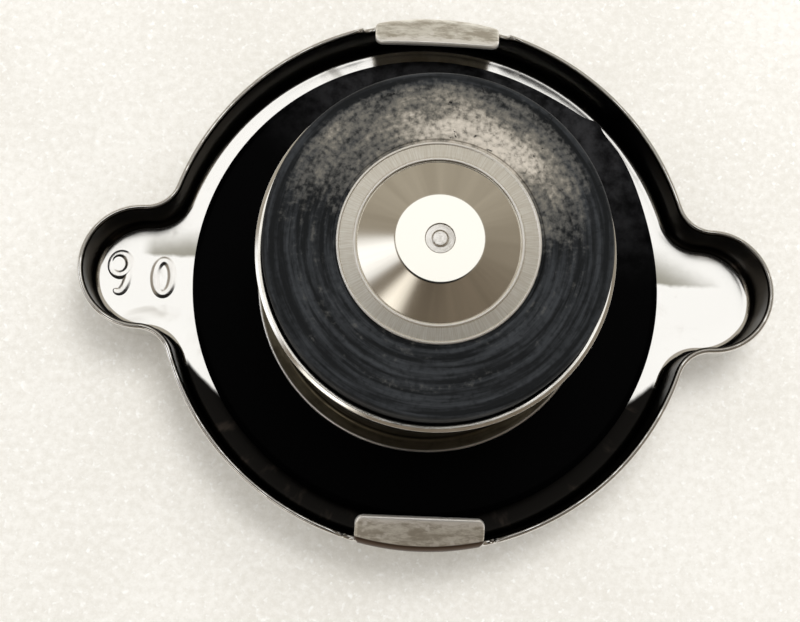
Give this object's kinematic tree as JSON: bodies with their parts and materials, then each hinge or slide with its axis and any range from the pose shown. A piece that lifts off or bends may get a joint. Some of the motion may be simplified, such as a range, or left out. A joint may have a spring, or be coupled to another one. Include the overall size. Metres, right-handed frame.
{
  "type": "radiator cap",
  "caption": "Eared pressure cap for a radiator filler neck: bent cam tabs, black top gasket, sprung rubber pressure valve and a metal vacuum valve in its centre.",
  "frame": {"origin": "centre of the crown's outer face, on which the cap lies", "axes": "+Z along the cap's axis out of its open side, +X toward an ear, +Y toward a cam tab"},
  "size_m": [0.07, 0.054, 0.0267],
  "materials": {
    "shell_steel": "bright stamped stainless sheet",
    "plain_steel": "plain",
    "spring_steel": "drawn wire and strip",
    "housing_steel": "drawn, dulled",
    "dish_steel": "fine brushed",
    "gasket_rubber": "smooth",
    "seal_rubber": "dull, with mineral deposits"
  },
  "bodies": {
    "cap": {"cap_shell": "shell_steel"},
    "housing": {"crown_rivet": "plain_steel", "spring_disc": "spring_steel", "top_gasket": "gasket_rubber", "spring_housing": "housing_steel", "pressure_spring": "spring_steel"},
    "pressure_valve": {"spring_seat": "plain_steel", "seal_cup": "plain_steel", "pressure_seal": "seal_rubber", "seal_eyelet": "plain_steel", "vacuum_spring": "spring_steel"},
    "vacuum_valve": {"vacuum_dish": "dish_steel", "vacuum_stem": "plain_steel", "spring_retainer": "plain_steel"}
  },
  "joints": [
    {"name": "plunger_swivel", "type": "hinge", "parent": "cap", "child": "housing", "pos_m": [0, 0, 0], "axis": [0, 0, 1], "continuous": true},
    {"name": "pressure_lift", "type": "slide", "parent": "housing", "child": "pressure_valve", "axis": [0, 0, -1], "range_m": [0, 0.0035], "stiffness_N_per_m": 2000, "springref_m": -0.004, "deforming": ["pressure_spring"]},
    {"name": "vacuum_open", "type": "slide", "parent": "pressure_valve", "child": "vacuum_valve", "axis": [0, 0, 1], "range_m": [0, 0.0025], "stiffness_N_per_m": 150, "springref_m": -0.002, "deforming": ["vacuum_spring"]}
  ]
}
